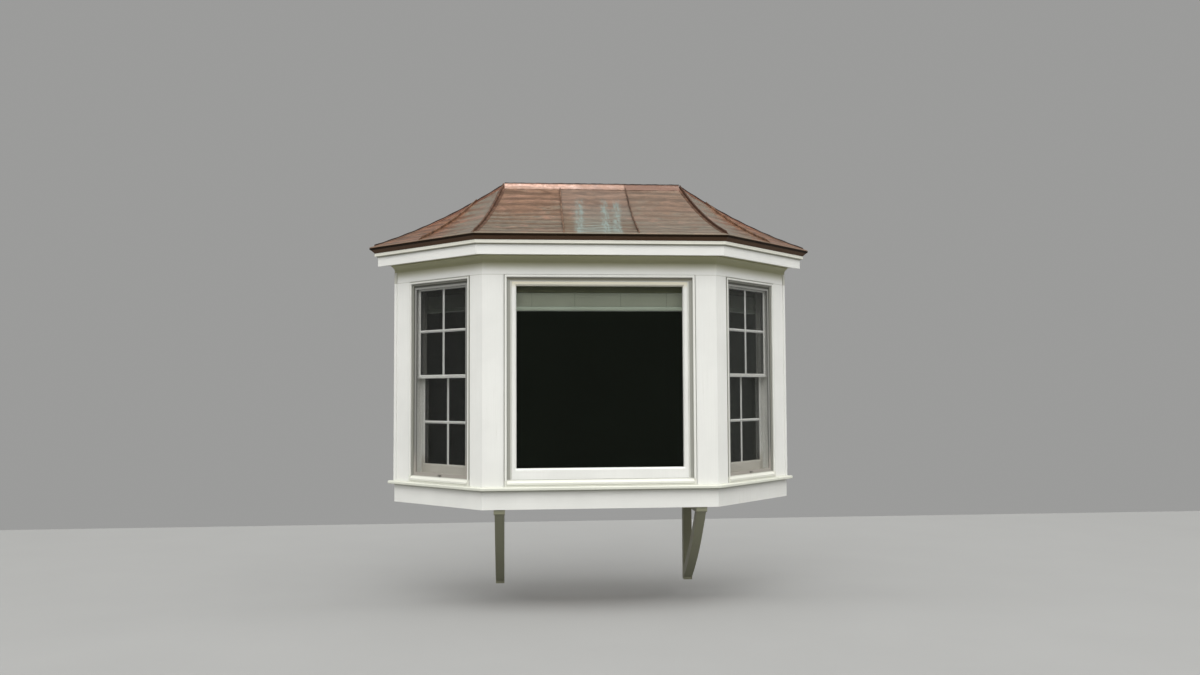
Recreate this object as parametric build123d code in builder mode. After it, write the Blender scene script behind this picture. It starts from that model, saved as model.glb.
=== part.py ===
from build123d import *
import os
from math import cos, hypot, radians, sin, tan

# A bay window with a front and two angled sides, cut off at the house wall.
# Millimetres, +Z up. The wall plane is y = 0 and the bay stands out towards -Y.
# z = 0 is the middle of the ledger that carries the bay on the wall.

os.makedirs("parts", exist_ok=True)

# Plan of the bay, to the outer face of the flat trim
front_half = 758.0
projection = 614.0
side_angle = 45.0

# Clearances
seat = 0.3
mitre_gap = 0.5
reveal_gap = 3.0

# Thicknesses
trim_thick = 20.0
wall_depth = 118.0
board_thick = 24.0
bottom_board_thick = 12.0
joist_width = 38.0

# Heights, one on top of the other
skirt_height = 122.0
nosing_thick = 22.0
sill_height = 43.0
window_height = 1276.0
head_trim = 36.0
frieze_height = 123.0
fascia_lip = 6.0
fascia_height = 90.0
crown_height = 28.0
drip_height = 28.0
hem_height = 15.0
roof_rise = 450.0

# How far the mouldings stand out from the trim face
nosing_out = 32.0
bed_out = 21.0
bed_drop = 50.0
fascia_out = 85.0
fascia_thick = 19.0
crown_out = 102.0
eave_out = 127.0

# Widths of the flat boards
corner_board_front = 141.0
corner_board_side = 117.5
wall_board_width = 155.0
wall_strip_width = 20.0
wall_strip_out = 5.0

# Roof
roof_top_inset = 133.0
roof_bell = 0.64
pan_thick = 3.0
deck_thick = 12.0
seam_width = 8.0
seam_rise = 19.0
hip_seam_width = 15.0
roof_ledger_height = 160.0
flashing_apron = 46.0
flashing_turn_up = 18.0
sheet_thick = 2.0

# Picture window
picture_frame_width = 48.0
picture_head = 11.0
surround_bead = 16.0
surround_step = 8.0
picture_stile = 29.0
picture_top_rail = 26.0
picture_bottom_rail = 70.0
picture_sash_face = 12.0
picture_sash_thick = 40.0
picture_bevel = 9.0

# Side windows
side_frame_width = 30.0
stile = 35.0
top_rail = 32.0
meeting_height = 675.0
meeting_rail = 23.0
bottom_rail = 78.0
screen_face = 14.0
screen_thick = 10.0
screen_width = 22.0
upper_sash_face = 36.0
lower_sash_face = 77.0
sash_thick = 35.0
sash_bevel = 6.0
stop_width = 9.0
lift_width = 26.0
lift_height = 9.0
lift_out = 8.0

# Sills and glass units
sill_out = 10.0
sill_drop = 19.0
sill_flat = 12.0
apron_height = 11.0
apron_step = 4.0
glass_thick = 20.0
glass_hold = 9.0
glass_setback = 8.0
picture_glass_setback = 18.0

# Blinds, raised
blind_depth = 48.0
headrail_height = 64.0
blind_stack = 91.0
blind_rail = 26.0
slat_count = 12
slat_lip = 3.0

# Brackets
bracket_inset = 109.0
bracket_cap_width = 70.0
bracket_width = 58.0
bracket_drop = 560.0
bracket_leg = 58.0
bracket_arm = 34.0
bracket_brace = 60.0
bracket_bulge = 25.0

# Sizes that follow from the ones above
c = cos(radians(side_angle))
s = sin(radians(side_angle))
lean = tan(radians(side_angle / 2))
half_width = front_half + projection * c / s
side_length = projection / s
reach = 2 * half_width

ledger_height = skirt_height + nosing_thick - board_thick - bottom_board_thick - 2 * seat
skirt_bottom = -ledger_height / 2 - seat - bottom_board_thick
nosing_bottom = skirt_bottom + skirt_height
nosing_top = nosing_bottom + nosing_thick
sill_line = nosing_top + sill_height
opening_top = sill_line + window_height
frieze_bottom = opening_top + head_trim
soffit_under = frieze_bottom + frieze_height
fascia_bottom = soffit_under - fascia_lip
fascia_top = fascia_bottom + fascia_height
hem_bottom = fascia_top + drip_height
eave_height = hem_bottom + hem_height - pan_thick
roof_top = eave_height + roof_rise
frame_top = frieze_bottom + trim_thick
foot = nosing_top + seat

picture_half = front_half - corner_board_front
picture_opening_half = picture_half - picture_frame_width
picture_opening_top = opening_top - picture_head

side_centre = (corner_board_side + side_length - wall_board_width) / 2
side_frame_half = (side_length - corner_board_side - wall_board_width) / 2 - seat
side_opening_half = side_frame_half - side_frame_width
meeting_top = sill_line + meeting_height

roof_top_half = front_half - roof_top_inset
front_seam_x = 0.375 * roof_top_half


def front_corner(out):
    """Front corner of the outline that stands out from the trim face by this much."""
    return front_half + out * lean, -(projection + out)


def wall_corner(out):
    """Point where that outline meets the wall plane."""
    return half_width + out / s, 0.0


def side_point(along, out):
    """Point on the right side: distance along the face from its front corner, and outwards."""
    return front_half + along * c + out * s, -projection + along * s - out * c


def outline(out):
    """The outline from wall to wall, left to right."""
    fx, fy = front_corner(out)
    wx, wy = wall_corner(out)
    return [(-wx, wy), (-fx, fy), (fx, fy), (wx, wy)]


def flip(points):
    """The same points on the left of the bay."""
    return [(-x, y) for x, y in points]


def face_plane(side):
    """Plane of the trim face: -1 left, 0 front, 1 right. Its x runs to the viewer's right."""
    if side == 0:
        return Plane(origin=(0, -projection, 0), x_dir=(1, 0, 0), z_dir=(0, -1, 0))
    x, y = side_point(side_centre, 0)
    return Plane(origin=(side * x, y, 0), x_dir=(c, side * s, 0), z_dir=(side * s, -c, 0))


def section_plane(side):
    """Plane across that face: its x runs outwards and its y up."""
    face = face_plane(side)
    return Plane(origin=face.origin, x_dir=face.z_dir, z_dir=-face.x_dir)


def slab(points, low, high):
    """Closed plan outline raised between two heights, for the open builder."""
    with BuildSketch(Plane.XY.offset(low)) as plan:
        with BuildLine():
            Polyline(*points, close=True)
        make_face()
    extrude(plan.sketch, amount=high - low)


def band(out_a, out_b, low, high):
    """Flat boards round the bay between two outlines, for the open builder."""
    slab(outline(out_a) + outline(out_b)[::-1], low, high)


def mitres():
    """Fine saw cuts where the three lengths meet at the front corners."""
    for side in (-1, 1):
        with Locations(Location((side * front_half, -projection, 0), (0, 0, side * side_angle / 2))):
            Box(mitre_gap, projection, 2 * reach, mode=Mode.SUBTRACT)


def panel(side, half, low, high, face, thick, mode=Mode.ADD):
    """Flat rectangular piece on one face, its outer side this far behind the trim face."""
    with BuildSketch(face_plane(side).offset(-face - thick)) as sheet:
        with Locations((0, (low + high) / 2)):
            Rectangle(2 * half, high - low)
    extrude(sheet.sketch, amount=thick, mode=mode)


def bevel(side, half, low, high, face, depth):
    """Sloping edge cut round an opening, from its outer face inwards."""
    with BuildSketch(face_plane(side).offset(-face)) as mouth:
        with Locations((0, (low + high) / 2)):
            Rectangle(2 * (half + depth), high - low + 2 * depth)
    extrude(mouth.sketch, amount=-depth, taper=45, mode=Mode.SUBTRACT)


def surround(side, half, low, high, profile):
    """Mitred moulding up, over and down an opening: points are (inwards, outwards)."""
    face = face_plane(side)
    start = face.from_local_coords((-half, low, 0))
    with BuildLine(face) as path:
        Polyline((-half, low), (-half, high), (half, high), (half, low))
    with BuildSketch(Plane(origin=start, x_dir=face.x_dir, z_dir=(0, 0, 1))) as section:
        with BuildLine():
            Polyline(*[(inwards, -out) for inwards, out in profile], close=True)
        make_face()
    sweep(section.sketch, path=path.line, transition=Transition.RIGHT)


def bar_across(side, points, half):
    """Profile of (outwards, height) points run along one face."""
    with BuildSketch(section_plane(side)) as section:
        with BuildLine():
            Polyline(*points, close=True)
        make_face()
    extrude(section.sketch, amount=half, both=True)


def save(piece, label):
    """Name the piece and write its file."""
    piece.part.label = label
    export_step(piece.part, "parts/" + label + ".step")


# Ledger on the house wall, with its flat back on the wall plane
ledger_low = -ledger_height / 2
ledger_half = wall_corner(-trim_thick)[0] - 2 * joist_width
with BuildPart() as wall_ledger:
    with BuildSketch(Plane.XY.offset(ledger_low)):
        with Locations((0, -joist_width / 2)):
            Rectangle(2 * ledger_half, joist_width)
    extrude(amount=ledger_height)
save(wall_ledger, "wall_ledger")

# Joists of the platform, from the ledger to the front skirt
joist_length = projection - trim_thick - joist_width - 2 * seat
joist_step = 0.41 * front_half
with BuildPart() as platform_frame:
    with BuildSketch(Plane.XY.offset(ledger_low)):
        with Locations((0, -joist_width - seat - joist_length / 2)):
            with GridLocations(joist_step, 1, 5, 1):
                Rectangle(joist_width, joist_length)
    extrude(amount=ledger_height)
save(platform_frame, "platform_frame")

# Bottom board and seat board across the whole bay
with BuildPart() as platform_bottom:
    slab(outline(-trim_thick - seat), skirt_bottom, skirt_bottom + bottom_board_thick)
save(platform_bottom, "platform_bottom")

with BuildPart() as seat_board:
    slab(outline(-trim_thick - seat), nosing_top - board_thick, nosing_top)
save(seat_board, "seat_board")

# Skirt boards
with BuildPart() as skirts:
    band(-trim_thick, 0, skirt_bottom, nosing_bottom - seat)
    mitres()
for board, label in zip(skirts.part.solids().sort_by(Axis.X), ("skirt_left", "skirt_front", "skirt_right")):
    with BuildPart() as skirt_board:
        add(board)
    save(skirt_board, label)

# Every moulding below runs along this line, and its profile is drawn on this plane
run_start = (-half_width - reach * c / s, reach)
with BuildLine() as run_line:
    Polyline(run_start, (-front_half, -projection), (front_half, -projection), (-run_start[0], reach))
run_plane = Plane(origin=(run_start[0], reach, 0), x_dir=(-s, -c, 0), z_dir=(-c, s, 0))


def moulding_run(profile):
    """Sweeps a profile of (outwards, height) round the bay, cuts it at the wall and mitres it."""
    sweep(profile.sketch, path=run_line.line, transition=Transition.RIGHT)
    split(bisect_by=Plane.XZ, keep=Keep.TOP)
    mitres()


# Sill nosing with a rounded front edge
nose_round = 0.4 * nosing_thick
with BuildPart() as sill_nosing:
    with BuildSketch(run_plane) as profile:
        with BuildLine():
            top_line = Line((-trim_thick, nosing_top - seat), (nosing_out - nose_round, nosing_top - seat))
            nose = RadiusArc(top_line @ 1, (nosing_out, nosing_top - seat - nose_round), nose_round)
            front = Line(nose @ 1, (nosing_out, nosing_bottom + nose_round / 2))
            under = RadiusArc(front @ 1, (nosing_out - nose_round / 2, nosing_bottom), nose_round / 2)
            Polyline(under @ 1, (-trim_thick, nosing_bottom), top_line @ 0)
        make_face()
    moulding_run(profile)
save(sill_nosing, "sill_nosing")

# Posts at the front corners and studs at the wall
post_out = -trim_thick - seat
post_points = [
    (picture_half + seat, -(projection + post_out)),
    front_corner(post_out),
    side_point(corner_board_side, post_out),
    side_point(corner_board_side, -wall_depth),
    front_corner(-wall_depth),
    (picture_half + seat, -(projection - wall_depth)),
]
stud_start = side_length - wall_board_width
stud_points = [
    side_point(stud_start, post_out),
    wall_corner(post_out),
    wall_corner(-wall_depth),
    side_point(stud_start, -wall_depth),
]
with BuildPart() as front_post_right:
    slab(post_points, foot, frame_top)
save(front_post_right, "front_post_right")

with BuildPart() as front_post_left:
    slab(flip(post_points), foot, frame_top)
save(front_post_left, "front_post_left")

with BuildPart() as wall_stud_right:
    slab(stud_points, foot, frame_top)
save(wall_stud_right, "wall_stud_right")

with BuildPart() as wall_stud_left:
    slab(flip(stud_points), foot, frame_top)
save(wall_stud_left, "wall_stud_left")

# Flat boards over the front corners, and at the wall
corner_points = [
    (picture_half + reveal_gap, -projection),
    front_corner(0),
    side_point(corner_board_side - reveal_gap, 0),
    side_point(corner_board_side - reveal_gap, -trim_thick),
    front_corner(-trim_thick),
    (picture_half + reveal_gap, -(projection - trim_thick)),
]
wall_board_points = [
    side_point(stud_start + reveal_gap, 0),
    wall_corner(0),
    wall_corner(-trim_thick),
    side_point(stud_start + reveal_gap, -trim_thick),
]
with BuildPart() as corner_boards_right:
    slab(corner_points, nosing_top, frieze_bottom - seat)
    mitres()
save(corner_boards_right, "corner_boards_right")

with BuildPart() as corner_boards_left:
    slab(flip(corner_points), nosing_top, frieze_bottom - seat)
    mitres()
save(corner_boards_left, "corner_boards_left")

with BuildPart() as wall_board_right:
    slab(wall_board_points, nosing_top, frieze_bottom - seat)
save(wall_board_right, "wall_board_right")

with BuildPart() as wall_board_left:
    slab(flip(wall_board_points), nosing_top, frieze_bottom - seat)
save(wall_board_left, "wall_board_left")

# Narrow strips over the boards where they meet the house wall
strip_points = [
    side_point(side_length - wall_strip_width, seat),
    wall_corner(seat),
    wall_corner(wall_strip_out),
    side_point(side_length - wall_strip_width, wall_strip_out),
]
with BuildPart() as wall_strips:
    for points in (strip_points, flip(strip_points)):
        slab(points, nosing_top, soffit_under - bed_drop - seat)
save(wall_strips, "wall_strips")

# Head of the bay: ceiling board and the framing on it, behind the frieze
with BuildPart() as head_board:
    slab(outline(-trim_thick - seat), frame_top + seat, frame_top + board_thick)
save(head_board, "head_board")

with BuildPart() as head_frame:
    band(-trim_thick - seat - joist_width, -trim_thick - seat, frame_top + board_thick + seat, fascia_top)
    mitres()
save(head_frame, "head_frame")

# Frieze, bed mould, soffit and fascia
with BuildPart() as frieze:
    band(-trim_thick, 0, frieze_bottom, fascia_top)
    mitres()
save(frieze, "frieze")

with BuildPart() as bed_mould:
    with BuildSketch(run_plane) as profile:
        with BuildLine():
            lip = Line((seat, soffit_under - bed_drop), (bed_out / 6, soffit_under - bed_drop))
            cove = RadiusArc((bed_out / 6, soffit_under - bed_drop + 5), (bed_out, soffit_under - 6), 2.2 * bed_out)
            Line(lip @ 1, cove @ 0)
            Polyline(cove @ 1, (bed_out, soffit_under - seat), (seat, soffit_under - seat), lip @ 0)
        make_face()
    moulding_run(profile)
save(bed_mould, "bed_mould")

with BuildPart() as soffit:
    band(seat, fascia_out - fascia_thick - seat, soffit_under, soffit_under + bottom_board_thick)
    mitres()
save(soffit, "soffit")

with BuildPart() as fascia:
    band(fascia_out - fascia_thick, fascia_out, fascia_bottom, fascia_top)
    mitres()
save(fascia, "fascia")

# Mould under the roof edge: a cove that carries a flat fillet
with BuildPart() as shingle_mould:
    with BuildSketch(run_plane) as profile:
        with BuildLine():
            crown_low = fascia_top - crown_height
            foot_line = Line((fascia_out + seat, crown_low), (fascia_out + 3, crown_low))
            crown_cove = RadiusArc(foot_line @ 1, (crown_out - 1, crown_low + 7), 3 * (crown_out - fascia_out) / 4)
            Polyline(crown_cove @ 1, (crown_out, crown_low + 8), (crown_out, fascia_top),
                     (fascia_out + seat, fascia_top), foot_line @ 0)
        make_face()
    moulding_run(profile)
save(shingle_mould, "shingle_mould")

# The roof: one bell curve shared by every facet, so that they meet along the hips
front_run = projection + eave_out
eave_fx, eave_fy = front_corner(eave_out)
eave_wx, eave_wy = wall_corner(eave_out)
side_run = (eave_wx - roof_top_half) * s
side_eave = front_run / s
hip_dx = roof_top_half - eave_fx
hip_run = hypot(front_run, hip_dx)


def bell(run, inwards):
    """Height of the bell curve this far in from the eave."""
    t = inwards / run
    return eave_height + roof_rise * (roof_bell * t + (1 - roof_bell) * t * t)


def bell_face(run, lower, upper):
    """Closed face between two shifts of the bell curve: x runs in from the eave, y is height."""
    with BuildLine() as curves:
        low_curve = Bezier((0, eave_height + lower), (run / 2, eave_height + lower + roof_bell * roof_rise / 2),
                           (run, roof_top + lower))
        high_curve = Bezier((0, eave_height + upper), (run / 2, eave_height + upper + roof_bell * roof_rise / 2),
                            (run, roof_top + upper))
        Line(low_curve @ 0, high_curve @ 0)
        Line(low_curve @ 1, high_curve @ 1)
    make_face(curves.edges())


def facet_plane(side):
    """Plane across a facet at its eave: x runs in from the eave, y is height."""
    if side == 0:
        return Plane(origin=(0, eave_fy, 0), x_dir=(0, 1, 0), z_dir=(1, 0, 0))
    return Plane(origin=(side * eave_fx, eave_fy, 0), x_dir=(-side * s, c, 0), z_dir=(c, side * s, 0))


def in_from_eave(side, inwards):
    """Upright plane along a facet's eave, moved in, facing the wall."""
    across = facet_plane(side)
    return Plane(origin=across.origin + across.x_dir * inwards, z_dir=across.x_dir)


def hip_plane(side, shift):
    """Upright plane along a hip, facing the front facet, moved towards it."""
    normal = Vector(-side * front_run, hip_dx, 0).normalized()
    origin = Vector(side * eave_fx, eave_fy, 0) + normal * shift
    return Plane(origin=origin, z_dir=normal)


def trim_facet(side, gap):
    """Cuts the open builder's part to its facet, this far from the hips."""
    if side == 0:
        split(bisect_by=hip_plane(1, gap), keep=Keep.TOP)
        split(bisect_by=hip_plane(-1, gap), keep=Keep.TOP)
    else:
        split(bisect_by=hip_plane(side, -gap), keep=Keep.BOTTOM)
        split(bisect_by=Plane.XZ, keep=Keep.TOP)


def roof_sheet(side, lower, upper, gap, hem=0, inset=0):
    """One layer of a facet between two shifts of the bell curve, with an optional turned-down hem."""
    run = side_run if side else front_run
    with BuildPart() as sheet:
        with BuildSketch(facet_plane(side)) as section:
            bell_face(run, lower, upper)
            if hem:
                with Locations((upper / 2, eave_height + (upper - hem) / 2)):
                    Rectangle(upper, hem + upper)
        extrude(section.sketch, amount=reach, both=True)
        trim_facet(side, gap)
        if inset:
            split(bisect_by=in_from_eave(side, inset), keep=Keep.TOP)
    return sheet.part


def roof_rib(side, along, width, lower, upper, start, stop):
    """Rib up a facet at a distance along its eave, from start to stop in from the eave."""
    run = side_run if side else front_run
    with BuildPart() as rib:
        with BuildSketch(facet_plane(side).offset(along)) as section:
            bell_face(run, lower, upper)
        extrude(section.sketch, amount=width / 2, both=True)
        split(bisect_by=in_from_eave(side, start), keep=Keep.TOP)
        split(bisect_by=in_from_eave(side, stop), keep=Keep.BOTTOM)
        if side:
            trim_facet(side, hip_seam_width)
    return rib.part


# Copper pans, each with its standing seams and a hem over the drip edge
hem_drop = hem_height - pan_thick
seam_foot = pan_thick / 2
front_pieces = [roof_sheet(0, 0, pan_thick, seat, hem_drop)]
for x in (-front_seam_x, front_seam_x):
    front_pieces.append(roof_rib(0, x, seam_width, seam_foot, pan_thick + seam_rise, seam_foot,
                                 front_run - flashing_apron - seam_width))
with BuildPart() as roof_pan_front:
    add(front_pieces)
save(roof_pan_front, "roof_pan_front")

for side, label in ((-1, "roof_pan_left"), (1, "roof_pan_right")):
    pan = roof_sheet(side, 0, pan_thick, seat, hem_drop)
    seam = roof_rib(side, side * side_eave / 2, seam_width, seam_foot, pan_thick + seam_rise, seam_foot, side_run)
    with BuildPart() as roof_pan_side:
        add([pan, seam])
    save(roof_pan_side, label)

# Seam caps along the two hips
with BuildPart() as hip_seams:
    for side in (-1, 1):
        along_hip = Plane(origin=(side * eave_fx, eave_fy, 0), x_dir=(side * hip_dx, front_run, 0),
                          z_dir=(front_run, -side * hip_dx, 0))
        with BuildSketch(along_hip) as hip_section:
            bell_face(hip_run, pan_thick + seat, pan_thick + seam_rise)
        extrude(hip_section.sketch, amount=hip_seam_width / 2, both=True)
    split(bisect_by=Plane.XZ, keep=Keep.TOP)
save(hip_seams, "hip_seams")

# Flashing over the top of the front facet, turned up the wall, in three lengths
with BuildPart() as roof_flashing:
    low_z = bell(front_run, front_run - flashing_apron) + pan_thick + seat
    high_z = roof_top + pan_thick + seat
    with BuildSketch(Plane.YZ) as flashing_section:
        with BuildLine():
            Polyline((-flashing_apron, low_z), (0, high_z), (0, high_z + flashing_turn_up),
                     (-sheet_thick, high_z + flashing_turn_up), (-sheet_thick, high_z + sheet_thick / 2),
                     (-flashing_apron, low_z + sheet_thick), close=True)
        make_face()
    extrude(flashing_section.sketch, amount=roof_top_half - hip_seam_width, both=True)
    with Locations((-front_seam_x, 0, high_z), (front_seam_x, 0, high_z)):
        Box(mitre_gap, 2 * eave_out, 2 * eave_out, mode=Mode.SUBTRACT)
save(roof_flashing, "roof_flashing")

# Cant under the roof edge, covered by the copper drip
cant_top = eave_height - seat + roof_rise * roof_bell / front_run * (eave_out - fascia_out)
cant_back = fascia_out - fascia_thick
hem_back = eave_out - pan_thick - seat
with BuildPart() as drip_edge:
    with BuildSketch(run_plane) as profile:
        with BuildLine():
            drip_face = RadiusArc((crown_out, fascia_top + seat), (eave_out, hem_bottom - seat), 3 * drip_height)
            Polyline(drip_face @ 1, (hem_back, hem_bottom - seat), (hem_back, eave_height - seat),
                     (fascia_out, cant_top), (cant_back, cant_top), (cant_back, fascia_top + seat), drip_face @ 0)
        make_face()
    moulding_run(profile)
save(drip_edge, "drip_edge")

# Roof deck under the copper
deck_inset = eave_out - cant_back + deck_thick
deck_pieces = [roof_sheet(side, -deck_thick - seat, -seat, 2, inset=deck_inset) for side in (-1, 0, 1)]
with BuildPart() as roof_deck:
    add(deck_pieces)
save(roof_deck, "roof_deck")

# Rafters from the head framing up to the wall, and the ledger that they meet
rafter_start = eave_out + trim_thick + 2 * seat
rafter_over = -deck_thick - 2 * seat
rafters = []
for x in (-0.74, -0.25, 0.25, 0.74):
    rafter_under = fascia_top + seat - bell(front_run, rafter_start)
    rafters.append(roof_rib(0, x * roof_top_half, joist_width, rafter_under, rafter_over, rafter_start,
                            front_run - joist_width - seat))
for side in (-1, 1):
    for along in (0.32, 0.62):
        rafter_under = fascia_top + seat - bell(side_run, rafter_start)
        rafters.append(roof_rib(side, side * along * side_eave, joist_width, rafter_under, rafter_over,
                                rafter_start, side_run - joist_width - seat))
with BuildPart() as roof_rafters:
    add(rafters)
save(roof_rafters, "roof_rafters")

with BuildPart() as roof_ledger:
    with BuildSketch(Plane.XY.offset(roof_top - deck_thick - joist_width - roof_ledger_height)):
        with Locations((0, -joist_width / 2)):
            Rectangle(2 * (roof_top_half - joist_width), joist_width)
    extrude(amount=roof_ledger_height)
save(roof_ledger, "roof_ledger")

# Window frames: jambs and head, moulded surround and sloping sill
sill_points = [
    (-wall_depth, foot),
    (sill_out - apron_step, foot),
    (sill_out - apron_step, foot + apron_height),
    (sill_out, foot + apron_height),
    (sill_out, sill_line - sill_drop),
    (-sill_flat, sill_line),
    (-wall_depth, sill_line),
]
surround_back = trim_thick + 2 * seat


def window_jambs(side, half, inner_half, inner_top):
    """Plain jambs and head behind the trim, with the sill across their feet."""
    panel(side, half, foot, frame_top - seat, trim_thick + seat, wall_depth - trim_thick - seat)
    panel(side, inner_half, sill_line, inner_top, 0, wall_depth, mode=Mode.SUBTRACT)
    bar_across(side, sill_points, half - surround_bead)


picture_profile = [
    (0, -surround_back), (0, 6), (2, 8), (13, 8), (surround_bead, 5), (surround_bead, -surround_step - 3),
    (picture_frame_width - 7, -surround_step - 5), (picture_frame_width - 4, -surround_step - 8),
    (picture_frame_width - 4, -surround_back),
]
side_profile = [
    (0, -surround_back), (0, 4), (2, 6), (13, 6), (surround_bead, 3), (surround_bead, -surround_step),
    (side_frame_width - 3, -surround_step - 1), (side_frame_width - 1, -surround_step - 3),
    (side_frame_width - 1, -surround_back),
]
with BuildPart() as picture_frame:
    window_jambs(0, picture_half, picture_opening_half, picture_opening_top)
    surround(0, picture_half, foot, frieze_bottom - reveal_gap, picture_profile)
save(picture_frame, "picture_frame")

# Picture sash with a bevelled edge round its fixed glass
picture_glass_half = picture_opening_half - picture_stile
picture_glass_low = sill_line + picture_bottom_rail
picture_glass_high = picture_opening_top - picture_top_rail
picture_glass_face = picture_sash_face + picture_glass_setback


def sash_with_glass(side, half, low, high, glass_half, glass_low, glass_high, face, thick, glass_face, cut):
    """Sash frame with a groove for its glass unit and a bevel on the weather side."""
    panel(side, half, low, high, face, thick)
    panel(side, glass_half, glass_low, glass_high, face, thick, mode=Mode.SUBTRACT)
    panel(side, glass_half + glass_hold + seat, glass_low - glass_hold - seat, glass_high + glass_hold + seat,
          glass_face - seat, glass_thick + 2 * seat, mode=Mode.SUBTRACT)
    bevel(side, glass_half, glass_low, glass_high, face, cut)


with BuildPart() as picture_sash:
    sash_with_glass(0, picture_opening_half - seat, sill_line + seat, picture_opening_top - seat,
                    picture_glass_half, picture_glass_low, picture_glass_high,
                    picture_sash_face, picture_sash_thick, picture_glass_face, picture_bevel)
save(picture_sash, "picture_sash")

with BuildPart() as picture_glass:
    panel(0, picture_glass_half + glass_hold, picture_glass_low - glass_hold, picture_glass_high + glass_hold,
          picture_glass_face, glass_thick)
save(picture_glass, "picture_glass")


def raised_blind(side, half, top, face):
    """Raised blind, for the open builder: head rail, stacked slats and bottom rail."""
    stack_top = top - headrail_height
    pitch = blind_stack / slat_count
    panel(side, half, stack_top, top, face, blind_depth)
    panel(side, half - 4 - slat_lip, stack_top - blind_stack - 1, stack_top + 1, face + 2 + slat_lip,
          blind_depth - 4 - 2 * slat_lip)
    for i in range(slat_count):
        low = stack_top - (i + 1) * pitch
        panel(side, half - 4, low, low + 0.7 * pitch, face + 2, blind_depth - 4)
    panel(side, half - 3, stack_top - blind_stack - blind_rail, stack_top - blind_stack, face + 1, blind_depth - 2)


with BuildPart() as picture_blind:
    raised_blind(0, picture_opening_half - trim_thick / 2, picture_opening_top - seat, wall_depth - blind_depth)
save(picture_blind, "picture_blind")

# Side windows
glass_half = side_opening_half - stile
upper_glass = (meeting_top, opening_top - top_rail)
lower_glass = (sill_line + bottom_rail, meeting_top - meeting_rail)
sash_half = side_opening_half - seat
stops = (
    (screen_face + screen_thick + seat, upper_sash_face - seat),
    (upper_sash_face + sash_thick + seat, lower_sash_face - seat),
    (lower_sash_face + sash_thick + seat, wall_depth),
)
for side, name in ((-1, "left"), (1, "right")):
    with BuildPart() as window_frame:
        window_jambs(side, side_frame_half, side_opening_half, opening_top)
        for face, back in stops:
            with BuildSketch(face_plane(side).offset(-back)) as stop_sketch:
                with Locations((0, (sill_line + opening_top) / 2)):
                    Rectangle(2 * side_frame_half - side_frame_width, window_height + side_frame_width / 2)
                with Locations((0, (sill_line + opening_top - stop_width) / 2)):
                    Rectangle(2 * (side_opening_half - stop_width), window_height - stop_width, mode=Mode.SUBTRACT)
            extrude(stop_sketch.sketch, amount=back - face)
        surround(side, side_frame_half, foot, frieze_bottom - reveal_gap, side_profile)
    save(window_frame, name + "_window_frame")

    with BuildPart() as upper_sash:
        sash_with_glass(side, sash_half, meeting_top - meeting_rail, opening_top - seat, glass_half, *upper_glass,
                        upper_sash_face, sash_thick, upper_sash_face + glass_setback, sash_bevel)
    save(upper_sash, name + "_upper_sash")

    with BuildPart() as lower_sash:
        sash_with_glass(side, sash_half, sill_line + seat, meeting_top, glass_half, *lower_glass,
                        lower_sash_face, sash_thick, lower_sash_face + glass_setback, sash_bevel)
    save(lower_sash, name + "_lower_sash")

    with BuildPart() as glass:
        for (low, high), sash_face in ((upper_glass, upper_sash_face), (lower_glass, lower_sash_face)):
            panel(side, glass_half + glass_hold, low - glass_hold, high + glass_hold,
                  sash_face + glass_setback, glass_thick)
    save(glass, name + "_glass")

    with BuildPart() as screen:
        panel(side, sash_half, sill_line + seat, opening_top - seat, screen_face, screen_thick)
        panel(side, sash_half - screen_width, sill_line + screen_width, opening_top - screen_width,
              screen_face, screen_thick, mode=Mode.SUBTRACT)
    save(screen, name + "_screen")

    with BuildPart() as screen_lift:
        with BuildSketch(face_plane(side).offset(seat - screen_face)) as tab:
            with Locations((0, sill_line + screen_width / 2)):
                RectangleRounded(lift_width, lift_height, lift_height / 3)
        extrude(tab.sketch, amount=lift_out)
    save(screen_lift, name + "_screen_lift")

    with BuildPart() as blind:
        raised_blind(side, side_opening_half, opening_top + head_trim / 6, wall_depth + seat)
    save(blind, name + "_blind")

# Brackets under the platform: a leg on the wall, a capped arm and a bowed brace
for side, label in ((-1, "bracket_left"), (1, "bracket_right")):
    top = skirt_bottom - seat
    tip = bracket_arm / 6 - projection
    arm_end = (tip + 0.4 * bracket_arm, top - bracket_arm)
    leg_end = (-bracket_leg / 2, top - bracket_drop)
    bow = ((arm_end[0] + leg_end[0]) / 2 - bracket_bulge, (arm_end[1] + leg_end[1]) / 2 - bracket_bulge)
    centre = Plane.YZ.offset(side * (front_half - bracket_inset))
    with BuildPart() as bracket:
        with BuildSketch(centre):
            with BuildLine():
                front = Line((tip, top), (tip, top - 0.8 * bracket_arm))
                scoop = RadiusArc(front @ 1, arm_end, bracket_arm)
                Polyline(scoop @ 1, (0, top - bracket_arm), (0, top), (tip, top))
            make_face()
        extrude(amount=bracket_cap_width / 2, both=True)
        with BuildSketch(centre) as strut_sketch:
            with Locations((-bracket_leg / 2, top - bracket_drop / 2)):
                Rectangle(bracket_leg, bracket_drop)
            with BuildLine():
                outer = ThreePointArc((arm_end[0], arm_end[1] + 1), bow, leg_end)
                inner = ThreePointArc((arm_end[0] + 1.3 * bracket_brace, arm_end[1] + 1),
                                      (bow[0] + 0.8 * bracket_brace, bow[1] + 0.8 * bracket_brace),
                                      (leg_end[0], leg_end[1] + 1.3 * bracket_brace))
                Line(outer @ 0, inner @ 0)
                Line(outer @ 1, inner @ 1)
            make_face()
        extrude(strut_sketch.sketch, amount=bracket_width / 2, both=True)
    save(bracket, label)
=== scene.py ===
"""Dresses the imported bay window: its own paint, copper and glass, and the pieces too fine for the solids."""
from math import radians

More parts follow.
